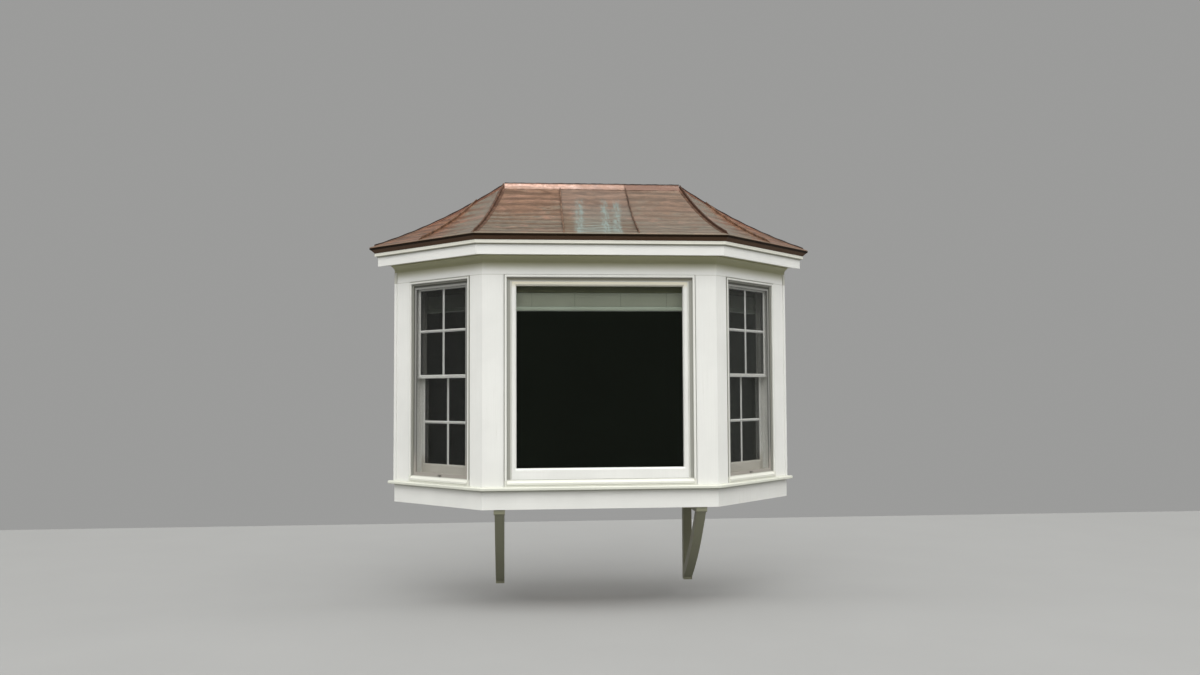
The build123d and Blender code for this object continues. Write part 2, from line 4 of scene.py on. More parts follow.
import bmesh
import bpy
import numpy as np
from bpy.props import FloatProperty, FloatVectorProperty, IntProperty, PointerProperty
from mathutils import Matrix, Vector


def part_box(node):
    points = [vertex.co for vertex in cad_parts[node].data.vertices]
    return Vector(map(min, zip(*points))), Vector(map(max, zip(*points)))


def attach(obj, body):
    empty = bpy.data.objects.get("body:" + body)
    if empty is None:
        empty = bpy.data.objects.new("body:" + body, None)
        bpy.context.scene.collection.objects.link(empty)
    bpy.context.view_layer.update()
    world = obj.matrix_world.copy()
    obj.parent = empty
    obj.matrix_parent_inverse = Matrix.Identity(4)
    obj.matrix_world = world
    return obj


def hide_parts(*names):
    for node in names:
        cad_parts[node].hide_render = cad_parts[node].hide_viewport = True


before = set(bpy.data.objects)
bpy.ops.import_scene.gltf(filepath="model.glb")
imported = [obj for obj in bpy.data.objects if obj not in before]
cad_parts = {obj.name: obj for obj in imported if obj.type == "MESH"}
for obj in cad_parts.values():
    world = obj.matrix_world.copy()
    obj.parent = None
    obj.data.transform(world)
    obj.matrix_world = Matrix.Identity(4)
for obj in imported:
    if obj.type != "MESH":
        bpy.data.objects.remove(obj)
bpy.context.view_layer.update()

bl_info = {
    "name": "Bay Window",
    "version": (1, 0, 0),
    "blender": (4, 5, 0),
    "location": "View3D > Sidebar > Bay",
    "description": "Finishes a bay window with a copper hip roof, glazing bars, screens and blinds",
    "category": "Object",
}

# Plan of the bay in metres, the same as the solids
FRONT_HALF = 0.758
PROJECTION = 0.614
CORNER_BOARD = 0.1175
WALL_BOARD = 0.155
SIDE_FRAME = 0.0303
C45 = 0.5 ** 0.5
SIDE_LENGTH = PROJECTION / C45
SIDE_CENTRE = (CORNER_BOARD + SIDE_LENGTH - WALL_BOARD) / 2
SIDE_OPENING = (SIDE_LENGTH - CORNER_BOARD - WALL_BOARD) / 2 - SIDE_FRAME

# Roof, the same as the solids
FASCIA_OUT = 0.085
EAVE_OUT = 0.127
FRONT_RUN = PROJECTION + EAVE_OUT
SIDE_EAVE = FRONT_RUN / C45
EAVE_X = FRONT_HALF + EAVE_OUT * np.tan(radians(22.5))
TOP_HALF = 0.625
SIDE_RUN = (FRONT_HALF + PROJECTION + EAVE_OUT / C45 - TOP_HALF) * C45
ROOF_RISE = 0.450
ROOF_BELL = 0.64
PAN = 0.003
SEAM_X = 0.375 * TOP_HALF
APRON = 0.046
SEAT = 0.0003

# Rails and stiles of the side sashes, and how far their glass lies behind the trim
STILE = 0.035
TOP_RAIL = 0.032
MEETING_RAIL = 0.023
BOTTOM_RAIL = 0.078
UPPER_GLASS = 0.044
LOWER_GLASS = 0.085

# Heights read from the solids
DRIP_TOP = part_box("drip_edge")[1][2]
EAVE_TOP = DRIP_TOP - ROOF_RISE * ROOF_BELL / FRONT_RUN * (EAVE_OUT - FASCIA_OUT) + SEAT + PAN
ROOF_TOP = EAVE_TOP + ROOF_RISE
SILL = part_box("left_lower_sash")[0][2] - SEAT
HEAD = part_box("left_upper_sash")[1][2] + SEAT
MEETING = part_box("left_lower_sash")[1][2]
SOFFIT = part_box("soffit")[0][2]
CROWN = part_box("shingle_mould")[0][2]
PICTURE_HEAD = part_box("picture_frame")[1][2]
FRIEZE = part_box("frieze")[0][2]
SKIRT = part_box("skirt_front")[1][2]

# Sheet metal and the mesh of the screens
SHEET = 0.0024
MITRE = 0.0004
STRIP_WIDTH = 0.032
SCREEN_HOLD = 0.0215
SCREEN_BACK = 0.0194
WIRE = 0.0002

# Blinds
HEAD_RAIL = 0.064
FOOT_RAIL = 0.026
SLAT_CROWN = 0.0021


# Meshes

def on_face(side, along, out, up):
    """Points on a face, -1 left, 0 front, 1 right: middle + along * right + out * outward, at height up."""
    along, out, up = np.broadcast_arrays(*(np.asarray(v, float) for v in (along, out, up)))
    if side == 0:
        return np.stack([along, -(PROJECTION + out), up], -1)
    x = side * (FRONT_HALF + SIDE_CENTRE * C45) + (along + side * out) * C45
    y = -PROJECTION + SIDE_CENTRE * C45 + (side * along - out) * C45
    return np.stack([x, y, up], -1)


def direction(side, along, out, up):
    """Direction made of a part along a face, a part out of it and a part up."""
    return on_face(side, along, out, up) - on_face(side, 0.0, 0.0, 0.0)


def on_roof(side, along, inwards, height):
    """Points over a facet: along its eave, square in from it, and up. The front is measured from x = 0."""
    along, inwards, height = np.broadcast_arrays(*(np.asarray(v, float) for v in (along, inwards, height)))
    if side == 0:
        return np.stack([along, inwards - FRONT_RUN, height], -1)
    x = side * (EAVE_X + (along - inwards) * C45)
    y = -FRONT_RUN + (along + inwards) * C45
    return np.stack([x, y, height], -1)


def bell(run, inwards):
    """Top of the copper: eave + rise * (b t + (1 - b) t^2), with t the share of the run covered."""
    t = inwards / run
    return EAVE_TOP + ROOF_RISE * (ROOF_BELL * t + (1 - ROOF_BELL) * t * t)


def roof_height(x, y):
    """Top of the copper over a plan point: the lower of the front facet's bell and the side facet's."""
    front = bell(FRONT_RUN, y + FRONT_RUN)
    flank = bell(SIDE_RUN, (EAVE_X - np.abs(x) + y + FRONT_RUN) * C45)
    return np.minimum(front, flank)


def paired(*grids):
    """Grids of one or two directions brought to one size and stacked as the parts of a vector."""
    return np.stack(np.broadcast_arrays(*grids), -1)


def carried(section, path, side, up, grow=1.0):
    """Closed section carried along a path: point = path + sideways * side + upwards * grow * up, capped."""
    section, path = np.asarray(section, float), np.asarray(path, float)
    side = np.broadcast_to(np.asarray(side, float), path.shape)
    up = np.broadcast_to(np.asarray(up, float), path.shape) * np.broadcast_to(grow, len(path))[:, None]
    n, k = len(path), len(section)
    points = path[:, None] + section[None, :, :1] * side[:, None] + section[None, :, 1:] * up[:, None]
    i, j = np.arange(n - 1)[:, None] * k, np.arange(k)[None]
    quads = np.stack([i + j, i + (j + 1) % k, i + k + (j + 1) % k, i + k + j], -1).reshape(-1, 4)
    caps = np.stack([np.arange(k)[::-1], np.arange((n - 1) * k, n * k)])
    length = np.r_[0, np.cumsum(np.linalg.norm(np.diff(path, axis=0), axis=1))]
    round_it = np.r_[0, np.cumsum(np.linalg.norm(np.diff(section, axis=0), axis=1))]
    return points.reshape(-1, 3), (quads, caps), paired(round_it[None], length[:, None]).reshape(-1, 2)


def shell(top, bottom, uv):
    """Closed sheet between two grids of points of the same size, joined round their edges."""
    rows, cols = top.shape[:2]
    count = rows * cols
    at = np.arange(count).reshape(rows, cols)
    over = np.stack([at[:-1, :-1], at[:-1, 1:], at[1:, 1:], at[1:, :-1]], -1).reshape(-1, 4)
    rim = np.r_[at[0, :-1], at[:-1, -1], at[-1, :0:-1], at[:0:-1, 0]]
    after = np.roll(rim, -1)
    edge = np.stack([rim, rim + count, after + count, after], -1)
    points = np.r_[top.reshape(-1, 3), bottom.reshape(-1, 3)]
    return points, (over, over[:, ::-1] + count, edge), np.tile(uv.reshape(-1, 2), (2, 1))


def make(name, solids, material, smooth=40, replaces=()):
    """One object from closed solids of (points, groups of faces, uv), merged and turned outwards."""
    points, groups, uvs = zip(*solids)
    firsts = np.cumsum([0] + [len(p) for p in points])
    faces = []
    for first, some in zip(firsts, groups):
        for group in some:
            faces += (group + first).tolist()
    mesh = bpy.data.meshes.new(name)
    mesh.from_pydata(np.concatenate(points).tolist(), [], faces)
    corner = np.empty(len(mesh.loops), int)
    mesh.loops.foreach_get("vertex_index", corner)
    uv = np.concatenate(uvs)[corner].astype(np.float32)
    mesh.uv_layers.new(name="length").data.foreach_set("uv", uv.ravel())
    bm = bmesh.new()
    bm.from_mesh(mesh)
    bmesh.ops.remove_doubles(bm, verts=bm.verts, dist=1e-6)
    bmesh.ops.recalc_face_normals(bm, faces=bm.faces)
    bm.to_mesh(mesh)
    bm.free()
    mesh.polygons.foreach_set("use_smooth", [True] * len(mesh.polygons))
    mesh.set_sharp_from_angle(angle=radians(smooth))
    mesh.materials.append(material)
    piece = bpy.data.objects.new(name, mesh)
    bpy.context.scene.collection.objects.link(piece)
    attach(piece, "root")
    if replaces:
        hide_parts(*replaces)


# Shader nodes

def feed(socket, value):
    """Gives a socket its value, or links the socket that feeds it."""
    if isinstance(value, bpy.types.NodeSocket):
        socket.id_data.links.new(value, socket)
    else:
        socket.default_value = value


def node(kind, ins, **props):
    """Adds a shader node to the tree of the sockets that feed it; ins holds its values and those sockets."""
    tree = next(value.id_data for value in ins.values() if isinstance(value, bpy.types.NodeSocket))
    n = tree.nodes.new("ShaderNode" + kind)
    for key, value in props.items():
        setattr(n, key, value)
    for key, value in ins.items():
        feed(n.inputs[key], value)
    return n


def start(name):
    """A new material and its tree."""
    material = bpy.data.materials.new(name)
    material.use_nodes = True
    return material, material.node_tree


def finish(material, values):
    """Feeds the surface shader of a material, and returns the material."""
    shader = material.node_tree.nodes["Principled BSDF"]
    for key, value in values.items():
        feed(shader.inputs[key], value)
    return material


def tone(colour, by=1.0):
    """Colour times a factor, or times one for each of its parts, with full alpha."""
    return (*(np.array(colour) * by), 1.0)


def mixed(share, a, b, kind="MIX"):
    """Colour between a and b."""
    return node("Mix", {0: share, 6: a, 7: b}, data_type="RGBA", blend_type=kind).outputs[2]


def coats(base, *layers):
    """Colours laid over a base one after another, each layer a share and its colour."""
    for share, colour in layers:
        base = mixed(share, base, colour)
    return base


def step(value, low, high, to_low=0.0, to_high=1.0):
    """Smooth step of a value from low to high."""
    return node("MapRange", {"Value": value, "From Min": low, "From Max": high, "To Min": to_low,
                             "To Max": to_high}, interpolation_type="SMOOTHSTEP").outputs[0]


def sums(kind, a, b=0.0):
    """Arithmetic on one or two values."""
    return node("Math", {0: a, 1: b}, operation=kind).outputs[0]


def product(value, *factors):
    """A value times each of these factors."""
    for factor in factors:
        value = sums("MULTIPLY", value, factor)
    return value


def apart(place):
    """The three parts of a place."""
    return node("SeparateXYZ", {0: place}).outputs


def stretched(place, lengths, angle=0):
    """A place turned about the upright axis and divided by these lengths, which draw a pattern out."""
    return node("Mapping", {"Vector": place, "Rotation": (0, 0, radians(angle)), "Scale": lengths},
                vector_type="TEXTURE").outputs[0]


def turned(tree, angle=0, lengths=(1, 1, 1)):
    """Object coordinates, turned and stretched."""
    return stretched(tree.nodes.new("ShaderNodeTexCoord").outputs["Object"], lengths, angle)


def own_uv(tree):
    """The uv of a piece, in metres along and across it."""
    uv = tree.nodes.new("ShaderNodeUVMap")
    uv.uv_map = "length"
    return uv.outputs[0]


def noise(vector, scale, detail=4.0, rough=0.55, warp=0.0):
    """Cloudy noise value."""
    return node("TexNoise", {"Vector": vector, "Scale": scale, "Detail": detail, "Roughness": rough,
                             "Distortion": warp}).outputs["Fac"]


def waves(vector, scale, bend, detail):
    """Bent bands across the y direction."""
    return node("TexWave", {"Vector": vector, "Scale": scale, "Distortion": bend, "Detail": 3.0,
                            "Detail Scale": detail}, bands_direction="Y").outputs["Fac"]


def bumps(relief, strength, depth):
    """Normal of a surface with this relief, its depth in metres."""
    return node("Bump", {"Height": relief, "Strength": strength, "Distance": depth}).outputs[0]


def measured(place, side, *parts):
    """How far a place lies from the middle of a face in a direction, given as direction() takes it."""
    way = direction(side, *parts)
    reach = node("VectorMath", {0: place, 1: tuple(way)}, operation="DOT_PRODUCT").outputs["Value"]
    return sums("SUBTRACT", reach, float(on_face(side, 0.0, 0.0, 0.0) @ way))


def off_centre(place, side):
    """Distance of a place from the upright middle line of a face, measured along the face."""
    return sums("ABSOLUTE", measured(place, side, 1.0, 0.0, 0.0))


# Finishes

GRAIN = {"front": 0, "left": -45, "right": 45}


def paint(name, colour, grain, grime=0.35, gloss=0.42, recess=None, shades=()):
    """Brushed gloss paint on wood: fine strokes along the grain, mottling, rain marks and specks of soil.
    recess = (side, near, far, strength, half, head, under): painted shade in the steps between two depths
    behind a face, in the joint round the frame's outer edge and under the head. shades = (height, height,
    share at the first, share at the second, tint): tinted bands by height: painted shade under the nosing,
    soffit, crown and sash head and at the frame sills, a dark joint line and a darker sash foot."""
    material, tree = start(name)
    strokes, grains = (
        turned(tree, GRAIN.get(grain, 0), (thin, thin, long) if grain == "up" else (long, thin, thin))
        for long, thin in ((0.30, 0.005), (0.9, 0.022)))
    plain = turned(tree)
    height = apart(plain)[2]
    stroke = noise(strokes, 1.0, 5.0, 0.6)
    ring = noise(grains, 1.0, 3.0, 0.5, 0.6)
    cloud = noise(plain, 2.6)
    speck = noise(plain, 210.0, 2.0)
    rain = noise(turned(tree, 0, (0.016, 0.016, 0.25)), 1.0, 5.0, 0.7)
    soil = tone(colour, (0.60, 0.585, 0.50))
    base = coats(tone(colour, 0.93),
                 (step(cloud, 0.3, 0.7), tone(colour)),
                 (step(stroke, 0.35, 0.75, 0.0, 0.35), tone(colour, 0.9)),
                 (product(step(rain, 0.55, 0.8, 0.0, grime), step(cloud, 0.42, 0.68)), soil),
                 (step(speck, 0.70, 0.76, 0.0, 0.6 * grime), soil))
    if recess:
        side, near, far, strength, half, head, below = recess
        # Painted shade: darker in the steps behind the face, on the frame under its head and in the joint round
        # its outer edge.
        behind = measured(plain, side, 0.0, -1.0, 0.0)
        step_shade = product(step(behind, near, near + 0.001, 0.0, strength),
                       step(behind, far - 0.001, far, 1.0, 0.0))
        under = product(step(behind, 0.010, 0.013),
                        step(height, head - 0.062, head - 0.050, 0.0, 0.95))
        rim = sums("MAXIMUM", step(off_centre(plain, side), half - 0.004, half - 0.002, 0.0, 0.7),
                   step(height, head - 0.004, head - 0.002, 0.0, 0.7))
        base = coats(base, (step_shade, tone(colour, (0.20, 0.20, 0.17))), (under, tone(colour, below)),
                     (rim, tone(colour, (0.30, 0.30, 0.26))))
    for low, high, first, second, tint in shades:
        base = mixed(step(height, low, high, first, second), base, tone(colour, tint))
    rough = step(sums("ADD", stroke, speck), 0.6, 1.4, gloss - 0.07, gloss + 0.12)
    relief = sums("ADD", product(stroke, 0.5), ring)
    return finish(material, {"Base Color": base, "Roughness": rough, "Normal": bumps(relief, 0.30, 0.0006)})


def bare_wood(name, colour, angle):
    """Planed softwood: bands of grain along the board, darker knots and fine pores."""
    material, tree = start(name)
    plain = turned(tree)
    band = waves(turned(tree, angle, (1.1, 0.05, 0.05)), 1.6, 6.0, 1.4)
    knot = node("TexVoronoi", {"Vector": plain, "Scale": 4.0}).outputs["Distance"]
    pores = noise(turned(tree, angle, (0.08, 0.0012, 0.0012)), 1.0, 3.0)
    base = coats(tone(colour), (band, tone(colour, (0.78, 0.68, 0.55))),
                 (step(knot, 0.02, 0.07, 0.75, 0.0), tone(colour, (0.35, 0.25, 0.18))),
                 (step(noise(plain, 3.0), 0.35, 0.7, 0.0, 0.3), tone(colour, (0.7, 0.68, 0.62))))
    return finish(material, {"Base Color": base, "Roughness": 0.75, "Normal": bumps(pores, 0.35, 0.0005)})


def copper(name, brown, grey, ember, layout, streaks=()):
    """Weathered copper: brown going grey in clouds and towards the eave, wavy dents across the slope in patina
    and painted shade, blotches worn bright, green runs, a hem near black from tarnish and painted shade under
    a rubbed edge with a painted highlight, and painted shade on the right hip and painted shadow on the lips
    at the wall and on the top flashing. layout names the pieces."""
    material, tree = start(name)
    plain = turned(tree)
    x, _, height = apart(plain)
    place = plain if layout == "strip" else own_uv(tree)
    along, slope, _ = apart(place)
    cloud = noise(plain, 5.0, 6.0, 0.62, 0.4)
    patch = noise(stretched(place, (0.20, 0.11, 0.20)), 1.0, 5.0, 0.62, 0.8)
    fines = noise(stretched(place, (0.13, 0.040, 0.13)), 1.0, 5.0, 0.65, 0.8)
    grit = noise(stretched(place, (0.050, 0.022, 0.050)), 1.0, 6.0, 0.75, 0.6)
    pits = noise(plain, 150.0, 3.0, 0.6)
    dents = waves(stretched(place, (3.0, 1.0, 3.0)), 3.5, 5.0, 1.5)
    creases = waves(stretched(place, (3.4, 1.0, 3.4)), 8.0, 7.0, 1.5)
    low = step(height, EAVE_TOP, EAVE_TOP + 0.34, 0.30, -0.10)
    if layout == "flank":
        from_hip = sums("SUBTRACT", along, product(slope, 0.494))
        low = sums("ADD", low, step(from_hip, 0.06, 0.42, 0.55, -0.36))
    greying = step(sums("ADD", cloud, low), 0.42, 0.72)
    # Painted shade and patina: the dents across the slope and the creases near the eave are darker.
    dent_patina_and_shade = product(step(dents, 0.40, 0.90, 0.0, 0.85), step(cloud, 0.34, 0.56, 0.35, 1.0))
    crease_patina_and_shade = product(step(creases, 0.55, 0.95, 0.0, 0.8),
                      step(height, EAVE_TOP + 0.03, EAVE_TOP + 0.17, 1.0, 0.1))
    base = coats(tone(brown), (greying, tone(grey)),
                 (step(patch, 0.52, 0.68, 0.0, 0.75), tone(ember)),
                 (step(patch, 0.32, 0.46, 0.8, 0.0), tone(brown, (0.58, 0.52, 0.44))),
                 (dent_patina_and_shade, tone(brown, (0.50, 0.48, 0.45))),
                 (crease_patina_and_shade, tone(grey, (0.40, 0.42, 0.42))),
                 (step(fines, 0.58, 0.74, 0.0, 0.45), tone(ember, 1.25)))
    speckle = mixed(step(grit, 0.34, 0.66), tone((0.78, 0.78, 0.79)), tone((1.20, 1.20, 1.18)))
    base = mixed(1.0, base, speckle, "MULTIPLY")
    if layout == "front":
        fibres = noise(stretched(place, (0.016, 0.11, 0.016)), 1.0, 4.0, 0.6, 0.5)
        seam = (SEAM_X - 0.002, SEAM_X + 0.002)
        middle_pan = step(sums("ABSOLUTE", along), *seam, 1.0, 0.0)
        greener = product(middle_pan, step(slope, 0.20, 0.42, 0.0, 0.22),
                          step(slope, 0.48, 0.66, 1.0, 0.0), step(along, -0.19, -0.14))
        browner = product(middle_pan, step(slope, 0.25, 0.50, 0.34, 0.0),
                          step(along, -0.19, -0.14, 1.0, 0.25))
        redder = product(middle_pan, step(slope, 0.48, 0.66, 0.0, 0.20))
        base = coats(base, (product(middle_pan, 0.12), tone(grey, (1.05, 1.18, 1.40))),
                     (greener, tone(grey, (1.12, 1.62, 2.10))),
                     (browner, tone(brown, (0.62, 0.64, 0.46))),
                     (redder, tone(brown, (1.20, 1.75, 2.40))),
                     (step(along, *seam, 0.0, 0.30), tone(grey, (1.20, 1.28, 1.42))))
        green = tone(grey, (1.25, 1.88, 2.32))
        for middle, lean, width, strength in streaks:
            off = sums("SUBTRACT", sums("SUBTRACT", along, middle), product(slope, lean))
            off = sums("ADD", sums("ABSOLUTE", off),
                       product(sums("SUBTRACT", fines, 0.5), 0.07))
            run = product(step(off, width * 0.4, width * 1.4, strength, 0.0),
                          step(fibres, 0.38, 0.60, 0.12, 1.0), step(patch, 0.36, 0.50, 0.35, 1.0),
                          step(slope, 0.58, 0.72, 1.0, 0.0))
            base = mixed(run, base, green)
        off = sums("ABSOLUTE", sums("ADD", along, 0.01))
        spread = product(step(slope, 0.10, 0.45, 0.70, 0.0), step(off, 0.12, 0.165, 1.0, 0.0),
                         step(creases, 0.75, 0.30, 0.15, 1.0))
        base = mixed(spread, base, green)
    if layout == "flank":
        base = mixed(step(from_hip, 0.02, 0.30, 0.50, 0.0), base, tone(grey, (1.08, 1.20, 1.36)))
    if layout == "strip":
        blotch = noise(plain, 22.0, 4.0, 0.6)
        base = coats(base, (step(along, -0.35, 0.0, 0.0, 0.45), tone(brown, 0.3)),
                     (step(blotch, 0.44, 0.58, 0.0, 0.60), tone(brown, (0.60, 0.55, 0.50))),
                     (step(along, SEAM_X - 0.013, SEAM_X - 0.012, 0.0, 0.69),
                      tone(brown, (0.24, 0.186, 0.16))),
                     # Painted shadow: the top of the upright edge is near black.
                     (step(height, ROOF_TOP + 0.0095, ROOF_TOP + 0.0115, 0.0, 0.95),
                      tone((0.016, 0.010, 0.007))))
    # Painted shade: the rib of the right hip is darker than the left one, its side turned from the light.
    if layout == "hips":
        right = product(step(x, -0.1, 0.1, 0.0, 0.85),
                        step(sums("ABSOLUTE", along), 0.0070, 0.0100, 1.0, 0.15))
        base = mixed(right, base, tone(brown, (0.42, 0.38, 0.34)))
    # Painted shadow: the lip against the wall is near black.
    if layout == "wall":
        base = mixed(step(slope, 0.0030, 0.0060, 0.95, 0.0), base, tone((0.020, 0.011, 0.008)))
    values = {"Metallic": 0.5}
    # Tarnish and painted shade: the hem under the eave is near black; the rubbed edge above it carries a
    # painted highlight.
    if layout in ("front", "flank", "edge"):
        hem = product(step(height, EAVE_TOP - 0.0065, EAVE_TOP - 0.0035, 1.0, 0.0),
                      step(height, EAVE_TOP - 0.0230, EAVE_TOP - 0.0170))
        base = coats(base, (step(height, EAVE_TOP + 0.002, EAVE_TOP + 0.010, 0.55, 0.0), tone(grey, 1.45)),
                     (hem, tone((0.018, 0.011, 0.006))))
        values["Specular IOR Level"] = step(hem, 0.0, 1.0, 0.5, 0.05)
    values["Base Color"] = mixed(step(pits, 0.68, 0.76, 0.0, 0.5), base, tone((0.035, 0.024, 0.018)))
    values["Roughness"] = step(sums("ADD", greying, pits), 0.3, 1.5, 0.38, 0.60)
    relief = sums("ADD", dents, sums("ADD", patch, product(pits, 0.15)))
    values["Normal"] = bumps(relief, 0.5, 0.003)
    return finish(material, values)


def glazing(name, tint, cover, bending):
    """Sealed glass unit: dark tint that lets part of the light through, with faint haze and settled dust."""
    material, tree = start(name)
    plain = turned(tree)
    haze = noise(plain, 3.5, 5.0, 0.6)
    base = coats(tone(tint), (step(haze, 0.35, 0.8, 0.0, 0.5), tone(tint, 1.9)),
                 (step(noise(plain, 330.0, 2.0), 0.72, 0.80, 0.0, 0.25), tone((0.25, 0.25, 0.22))))
    return finish(material, {"Base Color": base, "Roughness": step(haze, 0.3, 0.8, 0.015, 0.06),
                             "Alpha": step(haze, 0.3, 0.8, cover, cover + 0.03), "IOR": bending,
                             "Normal": bumps(noise(plain, 1.6, 1.0), 0.05, 0.01)})


def wire_mesh(name, colour, pitch, cover):
    """Insect mesh: crossed wires at the pitch, the gaps between them open."""
    material, tree = start(name)
    place = own_uv(tree)
    wires = []
    for value in list(apart(place))[:2]:
        part = sums("SUBTRACT", sums("FRACT", sums("DIVIDE", value, pitch)), 0.5)
        wires.append(step(sums("ABSOLUTE", part), 0.30, 0.40))
    base = mixed(noise(place, 30.0, 3.0), tone(colour), tone(colour, 1.6))
    alpha = product(sums("MAXIMUM", *wires), cover)
    return finish(material, {"Base Color": base, "Alpha": alpha, "Roughness": 0.6, "Metallic": 0.3})


def coated_metal(name, colour, rough=0.5, dust=None, track=None):
    """Baked enamel on thin metal: even colour with faint scuffs and an orange-peel skin. dust = (height,
    height, colour): painted light, a paler colour towards the bottom that thins out between two heights.
    track = side of the bay: painted shade where a screen frame sits in its track, 7 mm at the sides and
    9 mm at the head."""
    material, tree = start(name)
    plain = turned(tree)
    height = apart(plain)[2]
    cloud = noise(plain, 6.0, 5.0)
    scuff = noise(turned(tree, 0, (0.15, 0.15, 0.004)), 1.0, 4.0, 0.7)
    base = coats(tone(colour), (step(cloud, 0.3, 0.75, 0.0, 0.5), tone(colour, (0.86, 0.85, 0.80))),
                 (step(scuff, 0.62, 0.78, 0.0, 0.35), tone(colour, 0.7)))
    if track:
        sides = step(off_centre(plain, track), SIDE_OPENING - 0.0085, SIDE_OPENING - 0.0055)
        track_shade = sums("MAXIMUM", sides, step(height, HEAD - 0.0105, HEAD - 0.0075))
        base = mixed(product(track_shade, 0.85), base, tone(colour, (0.16, 0.16, 0.13)))
    # Painted light: paler towards the bottom.
    if dust:
        low, high, lit_colour_low = dust
        share = product(step(height, low, high, 1.0, 0.0), step(cloud, 0.2, 0.5, 0.7, 1.0))
        base = mixed(share, base, tone(lit_colour_low))
    rough = step(scuff, 0.3, 0.8, rough - 0.08, rough + 0.12)
    skin = bumps(noise(plain, 420.0, 2.0), 0.12, 0.0004)
    return finish(material, {"Base Color": base, "Roughness": rough, "Normal": skin})


class BaySizes(bpy.types.PropertyGroup):
    """Sizes of the fine pieces."""
    soft_edge: FloatProperty(name="Soft edge", description="Rounding on the edges of the painted boards",
                             default=0.0012, min=0.0, max=0.004, unit="LENGTH")
    muntin_width: FloatProperty(name="Glazing bar width", description="Width of the bars over the side glass",
                                default=0.018, min=0.01, max=0.04, unit="LENGTH")
    ripple: FloatProperty(name="Roof ripple", description="Height of the waves in the copper sheet",
                          default=0.0010, min=0.0, max=0.003, unit="LENGTH")
    seam_height: FloatProperty(name="Seam height", description="Height of the folded seams over the copper",
                               default=0.018, min=0.008, max=0.022, unit="LENGTH")
    wire_pitch: FloatProperty(name="Screen wire pitch",
                              description="Distance between the wires of the screens",
                              default=0.0016, min=0.001, max=0.004, unit="LENGTH")
    slat_count: IntProperty(name="Slats", description="Slats in the stack of each raised blind",
                            default=30, min=10, max=45)


class BayColours(bpy.types.PropertyGroup):
    """Colours of the finishes."""
    paint: FloatVectorProperty(name="Paint", description="Trim paint", subtype="COLOR", size=3,
                               default=(0.80, 0.80, 0.765), min=0, max=1)
    wood: FloatVectorProperty(name="Wood", description="Bare framing wood", subtype="COLOR", size=3,
                              default=(0.50, 0.36, 0.22), min=0, max=1)
    copper: FloatVectorProperty(name="Copper", description="Weathered copper", subtype="COLOR", size=3,
                                default=(0.240, 0.137, 0.086), min=0, max=1)
    copper_grey: FloatVectorProperty(name="Greyed copper", description="Copper that has gone grey",
                                     subtype="COLOR", size=3, default=(0.178, 0.146, 0.108), min=0, max=1)
    ember: FloatVectorProperty(name="Bright copper", description="Copper worn bright", subtype="COLOR",
                               size=3, default=(0.345, 0.195, 0.138), min=0, max=1)
    glass: FloatVectorProperty(name="Glass", description="Tint of the glass", subtype="COLOR", size=3,
                               default=(0.006, 0.008, 0.005), min=0, max=1)
    screen: FloatVectorProperty(name="Screen", description="Screen frames", subtype="COLOR", size=3,
                                default=(0.25, 0.25, 0.235), min=0, max=1)
    slats: FloatVectorProperty(name="Blind", description="Slats of the blinds", subtype="COLOR", size=3,
                               default=(0.58, 0.63, 0.49), min=0, max=1)


def both(*patterns):
    """Names of the left and the right node of each pattern."""
    return [pattern.format(label) for pattern in patterns for label in ("left", "right")]


def settle(names, material):
    """Gives solids their finish."""
    for name in names:
        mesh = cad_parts[name].data
        mesh.materials.clear()
        mesh.materials.append(material)


def soften(names, width):
    """Rounds the sharp edges of solids with modifiers: weld, bevel, then flat shading on the broad faces."""
    for name in names:
        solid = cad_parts[name]
        solid.modifiers.new("weld", "WELD").merge_threshold = 0.00002
        edge = solid.modifiers.new("edge", "BEVEL")
        edge.width = width
        edge.segments = 2
        edge.limit_method = "ANGLE"
        edge.angle_limit = radians(40)
        flat = solid.modifiers.new("flat", "WEIGHTED_NORMAL")
        flat.weight = 100
        flat.keep_sharp = True


